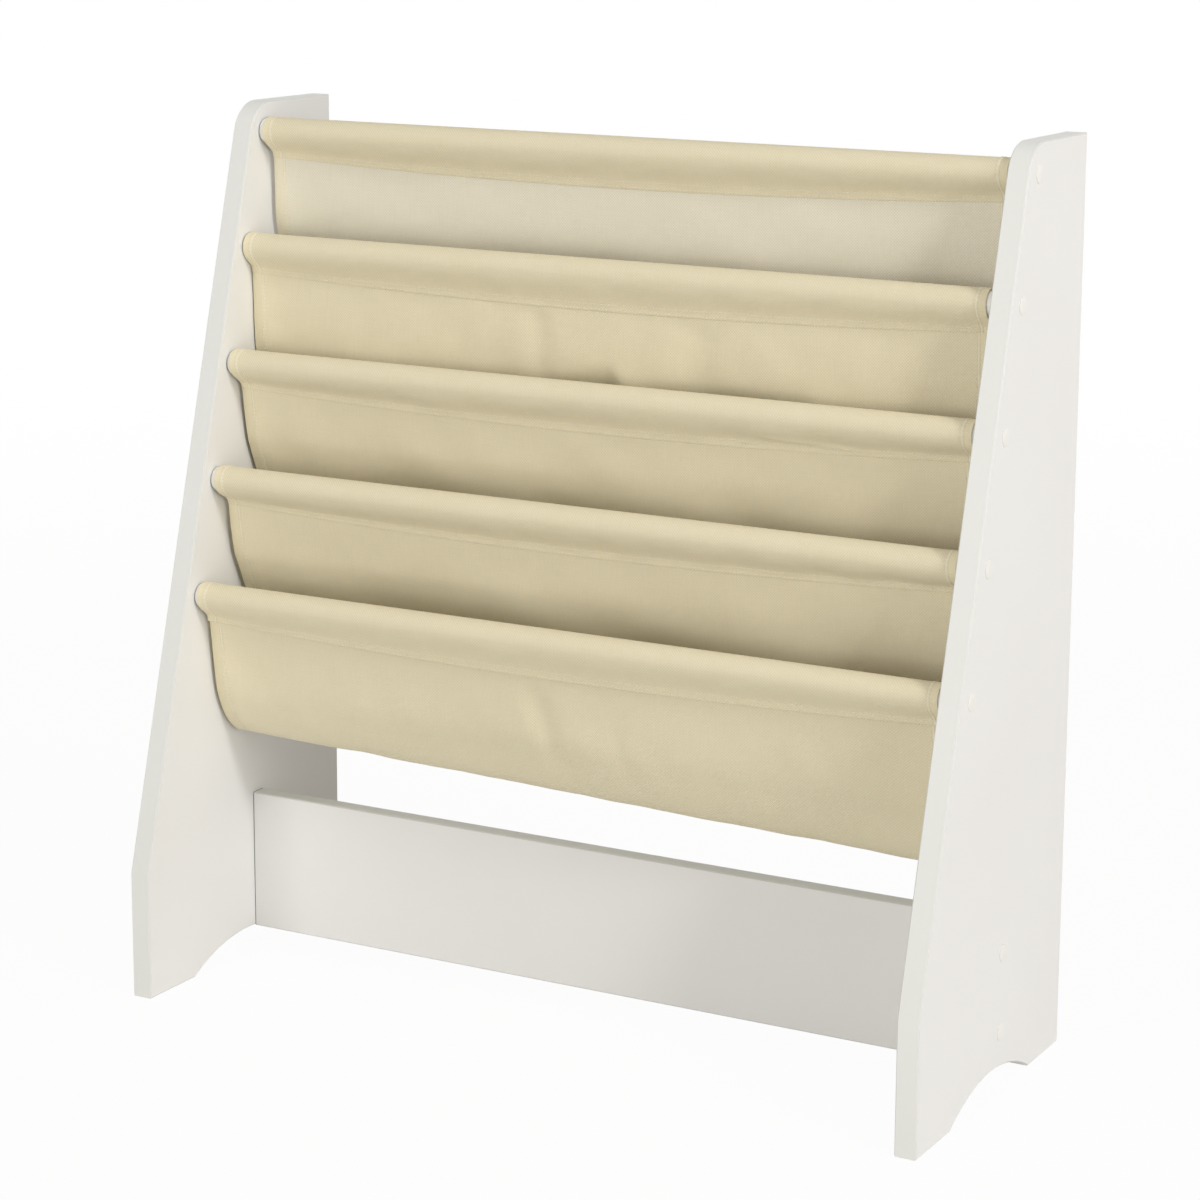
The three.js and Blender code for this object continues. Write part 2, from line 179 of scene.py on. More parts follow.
def grid_quads(rows, columns, first=0, turned=False):
    """The quads of a grid of points laid out row after row."""
    r, c = np.meshgrid(np.arange(rows - 1), np.arange(columns - 1), indexing="ij")
    a = (first + r * columns + c).ravel()
    quads = np.stack([a, a + 1, a + columns + 1, a + columns], axis=1)
    return quads[:, ::-1] if turned else quads


print("a grid of 3 rows and 4 columns has", len(grid_quads(3, 4)), "quads")

# %% [markdown]
# A cloth has two faces, so one middle surface gets a front and a back skin and a rim
# between them. Its UV map holds true lengths in metres, measured along the surface, so
# that the weave has one size everywhere.


# %% Two skins and a rim
def grid_normals(points):
    """Unit normals of a grid of points: the cross product of the steps along it and
    across it."""
    along = np.gradient(points, axis=1)
    across = np.gradient(points, axis=0)
    normal = np.cross(along, across)
    return normal / np.linalg.norm(normal, axis=2, keepdims=True)


def cloth_shell(name, middle, front, back, uv):
    """A closed sheet of cloth: the middle surface moved out along its normal by front
    on one side and by back on the other, and a rim that joins the two."""
    rows, columns, _ = middle.shape
    normal = grid_normals(middle)
    skins = [middle + normal * front[..., None], middle - normal * back[..., None]]
    points = np.concatenate([skin.reshape(-1, 3) for skin in skins])
    count = rows * columns
    index = np.arange(count).reshape(rows, columns)
    rim = np.concatenate([index[:, 0], index[-1, 1:], index[-2::-1, -1], index[0, -2:0:-1]])
    following = np.roll(rim, -1)
    sides = np.stack([rim, following, following + count, rim + count], axis=1)
    front_quads = grid_quads(rows, columns, 0, True)
    back_quads = grid_quads(rows, columns, count)
    quads = np.concatenate([front_quads, back_quads, sides[:, ::-1]])
    return new_piece(name, points, quads, np.concatenate([uv.reshape(-1, 2)] * 2))


def lengths_along(points):
    """How far each grid point lies along its own row, in metres."""
    steps = np.linalg.norm(np.diff(points, axis=1), axis=2)
    return np.concatenate([np.zeros((len(points), 1)), np.cumsum(steps, axis=1)], axis=1)


print("each skin lies", CLOTH * 500, "mm from the cloth's middle")

# %% [markdown]
# ## Where a sheet hangs
#
# Under each rod two layers hang from the seam: the front wall of the pocket behind, and
# in front of it the rear wall of the rod's own pocket. Where they part, one turns under
# as a pocket's bottom and the other goes on down to the next pocket. One formula gives
# both, so they follow each other without touching.


# %% The hanging line
def smoothstep(low, high, value):
    """0 below low, 1 above high, and a smooth S between them."""
    share = np.clip((value - low) / (high - low), 0, 1)
    return share * share * (3 - 2 * share)


def seam_drop(x):
    """The seam's depth under the rod: a shallow bow between the cloth's edges."""
    return SEAM_DROP + SEAM_SAG * (1 - (x / CLOTH_HALF) ** 2)


def crease_line(index, across):
    """Depth and softness of the crease and the lean below it, across the cloth from -1
    to 1. Softness and lean change smoothly to the right, and bells of unequal sides lift
    the crease where it has humps."""
    way = smoothstep(*SIDEWAYS, across)
    soft_left, soft_right = CREASE_SOFTNESS[index]
    lean_left, lean_right = LOWER_LEANS[index]
    soft = soft_left + (soft_right - soft_left) * way
    lower = lean_left + (lean_right - lean_left) * way
    depth = CREASE_DROPS[index] + 0 * across
    for middle, width_left, width_right, rise in HUMPS.get(index, []):
        width = np.where(across < middle, width_left, width_right)
        depth = depth - rise * np.exp(-(((across - middle) / width) ** 2))
    return depth, soft, lower


def hanging(index, x, share, layer):
    """Place and downward direction of a layer under a rod. share runs from 0 at the seam
    to 1 where the layers part. The cloth goes back by the upper lean times its fall, by
    the rest of the lower lean times its fall past the crease, and by the folds, which
    grow with the square of the share. Layer -1 is the front one and +1 the rear one."""
    across = x / CLOTH_HALF
    seam = seam_drop(x) + SHEET_START
    fall = PARTING_DROP - seam
    drop = seam + share * fall
    crease, soft, lower = crease_line(index, across)
    past = np.logaddexp(0, (drop - crease) / soft) - np.logaddexp(0, (seam - crease) / soft)
    bent = 1 / (1 + np.exp((crease - drop) / soft))
    upper, more = UPPER_LEANS[index], lower - UPPER_LEANS[index]
    fold = FOLD_DEPTHS[index] * np.cos(np.pi * (FOLD_COUNTS[index] * across + FOLD_SHIFTS[index]))
    back = SEAM_BACKS[index] + upper * (drop - seam) + more * soft * past + fold * share**2
    lean = upper + more * bent + 2 * fold * share / fall
    sy, sz = lean / np.hypot(lean, 1), -1 / np.hypot(lean, 1)
    reach = layer * (LAYER_STEP + (PARTING_STEP - LAYER_STEP) * share) / 2
    rod_y, rod_z = RODS[index]
    return rod_y + back - sz * reach, rod_z - drop + sy * reach, sy, sz


print("the seam's depth in the middle, in mm:", round(seam_drop(0) * 1000, 1))

# %% [markdown]
# ## The grid across the cloth
#
# The sides of the cloth have a hem, folded over once and sewn with two rows of thread,
# so there the cloth is thicker and slightly puffed between the rows. The grid needs more
# lines there.

# %% Grid lines and hems
HEM = 0.0115
SHEET_ROWS = (0.0092, 0.0112)  # the thread rows' distances from a sheet's edge
SLEEVE_ROWS = (0.0064, 0.0090)  # and from a sleeve's end
HEM_LINE, HEM_MARGIN = 0.0006, 0.0031  # the fine grid's step, and how far past the hem
HEM_STEP = 0.0012  # the folded layer ends over this width
HEM_PUFF = 0.0006  # half width of the puff
HEM_RISE = 0.00014  # the folded layer and the puff each lift a skin by this


def lines_across(count):
    """Places from -1 to 1 across the cloth: fine steps over the hems, and between their
    inner lines an even division by count places."""
    hem = np.arange(0, HEM + HEM_MARGIN, HEM_LINE) / CLOTH_HALF
    edge = 1 - hem
    inner = np.linspace(-edge[-1], edge[-1], count)[1:-1]
    return np.concatenate([-edge, inner, edge[::-1]])


def hem_swell(s, along, rows):
    """Extra thickness of a side hem in metres: one more layer of cloth as far as the
    inner thread row, and a puff between the two rows."""
    inset = (1 - np.abs(s))[:, None] * CLOTH_HALF + 0 * along
    layer = 1 - smoothstep(rows[1], rows[1] + HEM_STEP, inset)
    puff = np.exp(-(((inset - sum(rows) / 2) / HEM_PUFF) ** 2))
    return HEM_RISE * layer + HEM_RISE * puff


across = lines_across(150)
print("grid lines across the cloth:", len(across))

# %% [markdown]
# Cloth is never quite smooth. Small random wrinkles and a few listed creases move the
# surface along its normal. Plane waves of many directions make wrinkles that repeat
# nowhere, and a bell across a line makes a crease.

# %% Wrinkles and creases
WAVE_COUNT, SHORTEST, LONGEST, MEAN_WAVE = 10, 0.018, 0.090, 0.054
FULL_TURN = 6.28
FADE_IN, FADE_OUT = (-0.15, 0.25), (0.75, 1.15)  # where a crease fades, in shares of it


def wrinkles(x, along, seed, depth=0.00022):
    """A sum of faint plane waves in random directions, the longer the higher."""
    chance = np.random.default_rng(seed)
    total = np.zeros_like(along)
    for _ in range(WAVE_COUNT):
        angle = chance.uniform(0, np.pi)
        wavelength = chance.uniform(SHORTEST, LONGEST)
        run = x * np.cos(angle) + along * np.sin(angle)
        shift = chance.uniform(0, FULL_TURN)
        total += np.sin(2 * np.pi * run / wavelength + shift) * wavelength
    return total / MEAN_WAVE * depth / 2


def crease(x, along, start, end, depth, width):
    """A straight fold from start to end, both (x, along): a bell across the line that
    fades at its two ends. A positive depth moves it along the surface's normal."""
    (x0, a0), (x1, a1) = start, end
    far = math.hypot(x1 - x0, a1 - a0)
    run = ((x - x0) * (x1 - x0) + (along - a0) * (a1 - a0)) / far**2
    off = ((x - x0) * (a1 - a0) - (along - a0) * (x1 - x0)) / far
    fade = smoothstep(*FADE_IN, run) * (1 - smoothstep(*FADE_OUT, run))
    return depth * fade * np.exp(-((off / width) ** 2))


sample = wrinkles(0, np.linspace(0, 0.3, 300), seed=20)
print("wrinkles along one line stay within", round(float(np.abs(sample).max()) * 1000, 2), "mm")

# %% [markdown]
# ## The pockets
#
# A pocket is one sheet: down from the seam of the rod behind, back into a bulge, round
# the bottom and up to the seam of the rod in front. The grid runs across the shelf and
# along the sheet, and each stretch of it is a formula. Between two rods the cloth slides
# a little sideways, because it doesn't sit at the same place on both.

# %% The pocket surface
TUCK = -0.06  # the sheet's ends reach up between the layers of the band, as a share
TO_BULGE, TO_BOTTOM, TO_FRONT = (0.52, 0.38), (0.38, 0.38), (0.38, 0.30)  # bends' pulls
SLIDE_START, SLIDE_END = -0.35, 1.35  # the slide is spread over more than the sheet


def bend(start, leave, end, arrive, pulls, share):
    """A cubic Bezier curve in the side view that leaves and arrives in given directions.
    Its two inner points lie at the named shares of the distance between its ends."""
    (y0, z0), (y3, z3) = start, end
    far = np.hypot(y3 - y0, z3 - z0)
    y1, z1 = y0 + leave[0] * far * pulls[0], z0 + leave[1] * far * pulls[0]
    y2, z2 = y3 - arrive[0] * far * pulls[1], z3 - arrive[1] * far * pulls[1]
    a, b = (1 - share) ** 3, 3 * share * (1 - share) ** 2
    c, d = 3 * share**2 * (1 - share), share**3
    return a * y0 + b * y1 + c * y2 + d * y3, a * z0 + b * z1 + c * z2 + d * z3


def pocket_surface(index, s, hang=46, turn=34):
    """The middle surface of a pocket: s runs from -1 to 1 across it. Along it come the
    rear wall's hanging stretch, three bends (to the bulge, to the bottom and to the
    front wall) and the front wall's hanging stretch, upwards."""
    left, right, bottom_back, bulge_back, bulge_drop = POCKETS[index]
    x = (s * CLOTH_HALF)[:, None]
    drop = left + (right - left) * (s[:, None] + 1) / 2
    lower_y, lower_z = RODS[index + 1]
    bulge = (lower_y + bulge_back + 0 * x, lower_z - bulge_drop + 0 * x)
    bottom = (lower_y + bottom_back + 0 * x, lower_z - drop)
    y_r, z_r, sy_r, sz_r = hanging(index, x, 1.0, -1)
    y_f, z_f, sy_f, sz_f = hanging(index + 1, x, 1.0, 1)
    share = np.linspace(0, 1, turn, endpoint=False)[None, :]
    down, forward = (0 * x, -1 + 0 * x), (-1 + 0 * x, 0 * x)
    falling = np.append(TUCK, np.linspace(0, 1, hang, endpoint=False))[None, :]
    rising = np.append(np.linspace(1, 0, hang), TUCK)[None, :]
    stretches = [
        hanging(index, x, falling, -1)[:2],
        bend((y_r, z_r), (sy_r, sz_r), bulge, down, TO_BULGE, share),
        bend(bulge, down, bottom, forward, TO_BOTTOM, share),
        bend(bottom, forward, (y_f, z_f), (-sy_f, -sz_f), TO_FRONT, share),
        hanging(index + 1, x, rising, 1)[:2],
    ]
    y = np.concatenate([part[0] for part in stretches], axis=1)
    z = np.concatenate([part[1] for part in stretches], axis=1)
    way = smoothstep(0, 1, np.linspace(SLIDE_START, SLIDE_END, y.shape[1]))[None, :]
    slide = SLIDES[index] * (1 - way) + SLIDES[index + 1] * way
    return np.stack([x + slide + 0 * y, y, z], axis=2)


print("grid of a pocket, across and along:", pocket_surface(0, across).shape[:2])

# %% [markdown]
# The photograph shows a few folds of its own on these sheets: two soft upright dimples
# on the second one, and slanting folds in the lowest front wall. They are added here,
# and all of it calms down towards the seams, where the sewing holds the cloth.

# %% Folds of each sheet
# The wall a fold lies on, its start and end as (x, distance from that wall's seam), how
# far it moves the cloth along the normal, and its half width.
SHEET_FOLDS = {
    1: [
        ("rear", (-0.058, 0.004), (-0.054, 0.070), -0.0016, 0.010),
        ("rear", (0.085, 0.004), (0.089, 0.070), -0.0019, 0.016),
    ],
    3: [
        ("front", (-0.024, 0.004), (-0.001, 0.095), 0.0017, 0.0095),
        ("front", (-0.040, 0.010), (-0.018, 0.097), -0.0005, 0.0080),
        ("front", (0.047, 0.028), (0.064, 0.104), 0.0007, 0.0070),
    ],
}
SHEET_CALM = 0.014  # within this distance from its seams a sheet is pulled flat


def pocket_lift(index, x, along):
    """How far a pocket's surface moves along its normal, which looks to the front on the
    rear wall and into the pocket on the front wall."""
    rise = along[:, -1:] - along
    from_seam = {"rear": along, "front": rise}
    lift = wrinkles(x, along, seed=20 + index)
    for wall, start, end, depth, width in SHEET_FOLDS.get(index, []):
        lift += crease(x, from_seam[wall], start, end, depth, width)
    calm = smoothstep(0, SHEET_CALM, along) * smoothstep(0, SHEET_CALM, rise)
    return lift * calm


print("folds of their own:", {f"cloth_sheet_{i + 1}": len(SHEET_FOLDS[i]) for i in SHEET_FOLDS})

# %% [markdown]
# Each pocket takes the place of its plain solid, which is hidden, and the mean length of
# its cloth from seam to seam is printed.

# %% The four pockets
pocket_grids = []
for index in range(len(POCKETS)):
    middle = pocket_surface(index, across)
    along = lengths_along(middle)
    x = (across * CLOTH_HALF)[:, None] + 0 * along
    middle = middle + grid_normals(middle) * pocket_lift(index, x, along)[..., None]
    pocket_grids.append(middle)
    skin = CLOTH / 2 + hem_swell(across, along, SHEET_ROWS)
    uv = np.stack([x, along], axis=2)
    shell = cloth_shell(f"cloth_sheet_{index + 1}", middle, skin, skin, uv)
    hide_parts(f"cloth_pocket_{index + 1}")
    mean = float(along[:, -1].mean())
    f"rod_{index + 1}"
    f"rod_{index + 2}"
    print("pocket", index + 1, "runs", round(mean * 1000), "mm from seam to seam")

# %% [markdown]
# ## The sleeves
#
# Each sleeve is a strip that goes up behind the rod, over it and down in front, and is
# sewn to itself under the rod with the ends of the sheets between its two layers. Over
# the rod it is round, and from there it falls in a shallow S to the seam. So it is bright
# on top, shaded under the rod and bright again just above the seam.

# %% The sleeve surface
SLEEVE_GAP = 0.0010  # from the rod's skin to the middle of the cloth round it
TANGENT_SLACK = 0.002  # the tangent points are taken for a rod thinner by this
BAND_HALF, BAND_GROWTH, BAND_TOP_HALF = 0.0016, 0.0003, 0.0019  # half the band's thickness
REAR_PULLS, FRONT_PULLS = (0.22, 0.30), (0.42, 0.36)


def sleeve_surface(index, s, rear=8, side=14, over=40, front=34):
    """The middle surface of a sleeve. Along it come the rear layer of the band upwards,
    a run to the rod, the arc over the rod and the front run down to the seam. A straight
    run leaves the rod at a tangent point: seen from the rod's centre, it lies beside the
    run's far end by the angle whose cosine is the rod's radius over the distance. The
    front run leaves the arc 60 % of the way to that point and swings out into an upright
    end, so that it is a shallow S."""
    rod_y, rod_z = RODS[index]
    back, radius = SEAM_BACKS[index], ROD_RADIUS + SLEEVE_GAP
    seam = seam_drop(s * CLOTH_HALF)[:, None] + SLEEVE_END
    top = seam - SEAM_BAND

    def tangent(y, z):
        """Angle of the tangent point on the way to a place, clockwise from the top."""
        way = np.mod(np.arctan2(y, z), 2 * np.pi)
        return way - np.arccos((radius - TANGENT_SLACK) / np.hypot(y, z))

    def on_rod(angle):
        """A place on the arc and the direction in which the angle gets smaller there."""
        place = (rod_y + radius * np.sin(angle), rod_z + radius * np.cos(angle))
        return place, (-np.cos(angle), np.sin(angle))

    behind = tangent(back + BAND_TOP_HALF, -top)
    before = -np.pi / 2 - 0.6 * (tangent(BAND_HALF - back, -seam) - np.pi / 2)
    share = np.linspace(0, 1, side, endpoint=False)[None, :]
    strip = np.linspace(0, 1, rear, endpoint=False)[None, :]
    turn = behind + (before - behind) * np.linspace(0, 1, over, endpoint=False)[None, :]
    (last, upward), (leaving, downward) = on_rod(behind), on_rod(before)
    band_top = (rod_y + back + BAND_TOP_HALF + 0 * top, rod_z - top)
    edge = (rod_y + back - BAND_HALF + 0 * seam, rod_z - seam)
    fall = np.linspace(0, 1, front)[None, :]
    rear_y = rod_y + back + BAND_HALF + BAND_GROWTH * strip + 0 * seam
    stretches = [
        (rear_y, rod_z - seam + (seam - top) * strip),
        bend(band_top, (0, 1), last, upward, REAR_PULLS, share),
        on_rod(turn)[0],
        bend(leaving, downward, edge, (-0.10, -0.995), FRONT_PULLS, fall),
    ]
    y = np.concatenate([part[0] for part in stretches], axis=1)
    z = np.concatenate([part[1] for part in stretches], axis=1)
    return np.stack([(s * CLOTH_HALF)[:, None] + SLIDES[index] + 0 * y, y, z], axis=2)


print("grid of a sleeve, across and along:", sleeve_surface(0, across).shape[:2])

# %% [markdown]
# At the seam's lower edge the strip gets thinner, as pressed cloth does, so that the
# band lies almost flush on the sheet below it and the seam shows as one fine line. The
# third sleeve has one small slanting fold of its own.

# %% The five sleeves
PRESSED, PRESSED_WIDTH = 0.00030, 0.0016  # how much thinner the ends get, and how far in
SLEEVE_FOLDS = {2: [((0.150, 0.015), (0.240, 0.003), 0.0011, 0.0028)]}  # as on the sheets
SLEEVE_CALM = 0.006
LOOSE = (0.004, 0.014)  # below the rod's centre, where the cloth starts to be free of it
SLEEVE_UV = 0.4  # the sleeves' part of the UV map starts here

sleeve_grids = []
for index in range(ROD_COUNT):
    middle = sleeve_surface(index, across)
    along = lengths_along(middle)
    rise = along[:, -1:] - along
    x = (across * CLOTH_HALF)[:, None] + 0 * along
    low = smoothstep(*LOOSE, RODS[index][1] - middle[..., 2])
    lift = wrinkles(x, along, seed=40 + index, depth=0.0003) * low
    for start, end, depth, width in SLEEVE_FOLDS.get(index, []):
        lift += crease(x, rise, start, end, depth, width)
    calm = smoothstep(0, SLEEVE_CALM, along) * smoothstep(0, SLEEVE_CALM, rise)
    middle = middle + grid_normals(middle) * (lift * calm)[..., None]
    sleeve_grids.append(middle)
    thick = smoothstep(0, PRESSED_WIDTH, along), smoothstep(0, PRESSED_WIDTH, rise)
    pressed = PRESSED * (2 - thick[0] - thick[1])
    outer = CLOTH / 2 + hem_swell(across, along, SLEEVE_ROWS) - pressed
    inner = CLOTH / 2 + 0 * along
    uv = np.stack([x, along + SLEEVE_UV], axis=2)
    shell = cloth_shell(f"cloth_rod_sleeve_{index + 1}", middle, outer, inner, uv)
    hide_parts(f"cloth_sleeve_{index + 1}")
    mean = float(along[:, -1].mean())
    f"rod_{index + 1}"
    print("sleeve", index + 1, "runs", round(mean * 1000), "mm round the rod to the seam")

# %% [markdown]
# ## Stitches
#
# A sewn line is a row of short threads, each about 2.6 mm long with a small gap to the
# next. One stitch is a spindle with a few dozen faces, and a row lays copies of it along
# a line of the cloth's surface, just above the skin. Two rows hold each side hem, and
# two rows close each sleeve.

# %% Stitch rows
STITCH, STITCH_GAP, THREAD = 0.0026, 0.0007, 0.00028  # the last is the thread's radius
ROW_START = 0.001
RING_SHARES = np.array([0.0, 0.22, 0.78, 1.0])  # where a stitch's four rings lie on it
RING_WIDTHS = np.array([0.25, 1.0, 1.0, 0.25])  # their radii
RING_RISES = np.array([-0.6, 0.6, 0.6, -0.6])  # and heights, in radii of the thread
RING_POINTS = 6
STITCH_POINTS = len(RING_SHARES) * RING_POINTS


def stitch_row(path, normal, lift):
    """Points and quads for stitches along a path (n, 3): the path is cut into equal
    lengths, and each gets a spindle of four rings of six points along the path's
    direction, set on the surface by lift along the normal."""
    steps = np.linalg.norm(np.diff(path, axis=0), axis=1)
    run = np.concatenate([[0], np.cumsum(steps)])
    starts = np.arange(ROW_START, run[-1] - STITCH, STITCH + STITCH_GAP)

    def at(where):
        """Place and unit normal at a distance along the path."""
        point = np.stack([np.interp(where, run, path[:, i]) for i in range(3)], axis=-1)
        out = np.stack([np.interp(where, run, normal[:, i]) for i in range(3)], axis=-1)
        return point, out / np.linalg.norm(out, axis=-1, keepdims=True)

    first, out_a = at(starts)
    last, out_b = at(starts + STITCH)
    heading = last - first
    heading /= np.linalg.norm(heading, axis=1, keepdims=True)
    turns = np.arange(RING_POINTS) * np.pi / 3  # a sixth of a full turn each
    out = (out_a + out_b) / 2
    side = np.cross(heading, out)
    centre = first[:, None] + (last - first)[:, None] * RING_SHARES[None, :, None]
    centre = centre + out[:, None] * (lift + THREAD * RING_RISES)[None, :, None]
    ring = (
        out[:, None, None] * np.cos(turns)[None, None, :, None]
        + side[:, None, None] * np.sin(turns)[None, None, :, None]
    )
    points = centre[:, :, None] + ring * (THREAD * RING_WIDTHS)[None, :, None, None]
    base = (np.arange(len(starts)) * STITCH_POINTS)[:, None]
    r, t = np.meshgrid(np.arange(3), np.arange(RING_POINTS), indexing="ij")
    a = (r * RING_POINTS + t).ravel()
    b = (r * RING_POINTS + (t + 1) % RING_POINTS).ravel()
    walls = np.stack([a, a + RING_POINTS, b + RING_POINTS, b], axis=1)
    # Two quads close the first ring, and two the last.
    caps = np.array([[0, 1, 2, 3], [0, 3, 4, 5], [21, 20, 19, 18], [23, 22, 21, 18]])
    quads = np.concatenate([walls, caps])
    return points.reshape(-1, 3), (quads[None] + base[..., None]).reshape(-1, 4)


def sewn(name, rows):
    """One piece of thread from several stitch rows."""
    points, quads, first = [], [], 0
    for row_points, row_quads in rows:
        points.append(row_points)
        quads.append(row_quads + first)
        first += len(row_points)
    piece = new_piece(name, np.concatenate(points), np.concatenate(quads))
    return piece


print("one stitch every", round((STITCH + STITCH_GAP) * 1000, 1), "mm")

# %% [markdown]
# The hem rows run on both faces of the sheets. On a sleeve the end rows run round the
# rod, and the seam's two rows run along the band, on its front and on its back.

# %% Sew hems and seams
HEM_SKIN = CLOTH / 2 + 0.00012  # from the cloth's middle to the hem's skin at a row
STITCH_LIFT = THREAD * 0.2
INSIDE = slice(6, -6)  # the part of a sheet's line that lies clear of the seams
SEAM_LINES = (-3, -8, 2, 7)  # the lines along a sleeve: two in front, two behind


def column_at(inset, hand):
    """The grid line across the cloth that lies an inset from its left (-1) or right
    (+1) edge."""
    return int(np.abs(across - hand * (1 - inset / CLOTH_HALF)).argmin())


def hem_columns(rows):
    """The grid lines of a cloth's two rows at its left and then at its right edge."""
    return [column_at(inset, hand) for hand in (-1, 1) for inset in rows]


threads = []
for index, middle in enumerate(pocket_grids):
    normal = grid_normals(middle)
    rows = []
    for column in hem_columns(SHEET_ROWS):
        for face in (1, -1):
            path = middle[column] + normal[column] * HEM_SKIN * face
            rows.append(stitch_row(path[INSIDE], normal[column][INSIDE] * face, STITCH_LIFT))
    threads.append(sewn(f"hem_stitches_{index + 1}", rows))
for index, middle in enumerate(sleeve_grids):
    normal = grid_normals(middle)
    rows = []
    for column in hem_columns(SLEEVE_ROWS):
        path = middle[column] + normal[column] * HEM_SKIN
        rows.append(stitch_row(path, normal[column], STITCH_LIFT))
    for line in SEAM_LINES:
        path = middle[:, line] + normal[:, line] * CLOTH / 2
        rows.append(stitch_row(path, normal[:, line], STITCH_LIFT))
    threads.append(sewn(f"seam_stitches_{index + 1}", rows))
print("thread pieces", len(threads))

# %% [markdown]
# ## Writing node trees as sums
#
# A finish is a small program of nodes. The first class below wraps one output socket, so
# that an expression such as `1 - mask * 0.4` adds its own Math nodes. The second adds
# any other node in one call, to a material, a world or a modifier.


# %% Sockets with operators
class Socket:
    """One output of a node, with arithmetic."""

    def __init__(self, tree, socket):
        self.tree, self.socket = tree, socket

    def _math(self, operation, *values):
        return self.tree.node("ShaderNodeMath", {"operation": operation}, *values)

    def __add__(self, other):
        return self._math("ADD", self, other)

    def __sub__(self, other):
        return self._math("SUBTRACT", self, other)

    def __rsub__(self, other):
        return self._math("SUBTRACT", other, self)

    def __mul__(self, other):
        return self._math("MULTIPLY", self, other)

    def __gt__(self, other):
        return self._math("GREATER_THAN", self, other)

    __radd__ = __add__
    __rmul__ = __mul__

    def sin(self):
        return self._math("SINE", self)

    def abs(self):
        return self._math("ABSOLUTE", self)

    def ramp(self, start, end, first=0.0, last=1.0):
        """first up to start, last from end on, and a straight change between them."""
        settings = {"clamp": True}
        return self.tree.node("ShaderNodeMapRange", settings, self, start, end, first, last)


class Tree:
    """A node tree, with a method that adds any node."""

    def __init__(self, tree):
        self.nodes, self.links = tree.nodes, tree.links

    def fill(self, target, value):
        """Links a node's input to a Socket or sets it. Three numbers make an opaque
        colour, and None leaves the input as it is."""
        if isinstance(value, Socket):
            self.links.new(value.socket, target)
        elif value is not None:
            opaque = target.type == "RGBA" and len(value) == 3
            target.default_value = (*value, 1.0) if opaque else value

    def node(self, kind, settings=(), *values, output=0, **named):
        """Adds a node: settings first, then its sockets by place or by name."""
        made = self.nodes.new(kind)
        for key, value in dict(settings).items():
            setattr(made, key, value)
        for target, value in zip(made.inputs, values):
            self.fill(target, value)
        for name, value in named.items():
            self.fill(made.inputs[name.replace("_", " ")], value)
        return Socket(self, made.outputs[output])


print("operators of a socket: + - * > sin abs ramp")

# %% [markdown]
# Every finish starts from one Principled BSDF. A value that is the same all over is set
# on the shader's own socket, and one that changes over the surface is linked to it.


# %% A finish
class Finish(Tree):
    """A material with one Principled BSDF."""

    def __init__(self, name, color, roughness, **uniform):
        self.material = bpy.data.materials.new(name)
        self.material.use_nodes = True
        super().__init__(self.material.node_tree)
        self.shader = self.nodes["Principled BSDF"]
        self.feed("Base Color", color)
        self.feed("Roughness", roughness)
        for socket, value in uniform.items():
            self.feed(socket.replace("_", " "), value)

    def feed(self, name, value):
        """Sets one of the shader's sockets to a value, or links it."""
        self.fill(self.shader.inputs[name], value)

    def mix(self, factor, low, high):
        """A colour between low and high. The Mix node's inputs for colours come after
        one more factor and two pairs of inputs for numbers and vectors."""
        unused = [None] * 5
        values = (factor, *unused, low, high)
        return self.node("ShaderNodeMix", {"data_type": "RGBA"}, *values, output=2)

    def bump(self, height, distance, strength):
        """Feeds the shader's normal from a height."""
        slope = self.node("ShaderNodeBump", Height=height, Distance=distance, Strength=strength)
        self.feed("Normal", slope)

    def cover(self, other, share):
        """Mixes another shader over this one, by a number or a link, at the output."""
        own = Socket(self, self.shader.outputs["BSDF"])
        blend = self.node("ShaderNodeMixShader", (), share, own, other)
        self.fill(self.nodes["Material Output"].inputs["Surface"], blend)


def linear(red, green, blue):
    """A colour given in display values from 0 to 255, as Blender's linear light."""
    return tuple(((c / 255 + 0.055) / 1.055) ** 2.4 for c in (red, green, blue))


print("display grey 128 is", round(linear(128, 128, 128)[0], 3), "in linear light")

# %% [markdown]
# ## Finishes
#
# The boards are covered with a white satin foil: almost even in colour, with a very fine
# grain that softens the gloss. Their narrow edges are covered with a strip of their own,
# a shade cooler. The finish tells the two apart by the direction of the face: the broad
# faces of the sides look along X and those of the cross board along Y. Foil and strip
# meet on the rounded edges, which get a painted shade that tones down the light they
# catch. Where a rod or the cross board meets a side, the shade in the open joint is
# painted as a thin dark line.

# %% White boards, rods and caps
# Painted shade for the open joints, where a rod or the cross board meets a side.
SHADE = linear(96, 92, 86)  # of an open joint
JOINT, TOUCHING = 0.0007, 0.00002  # the joint's width, and what still counts as touching
BROAD = 0.6  # a face looks along the axis when the normal's share of it is over this
ROUNDED = (0.15, 0.98)  # and is on a rounded edge when the share lies between these


def painted_joint_shade(finish, place):
    """1 on the last 0.7 mm before a side board, where the gap to it gets a painted shade."""
    x = finish.node("ShaderNodeSeparateXYZ", (), place, output="X").abs()
    return (x > INNER_HALF - JOINT) - (x > INNER_HALF - TOUCHING)


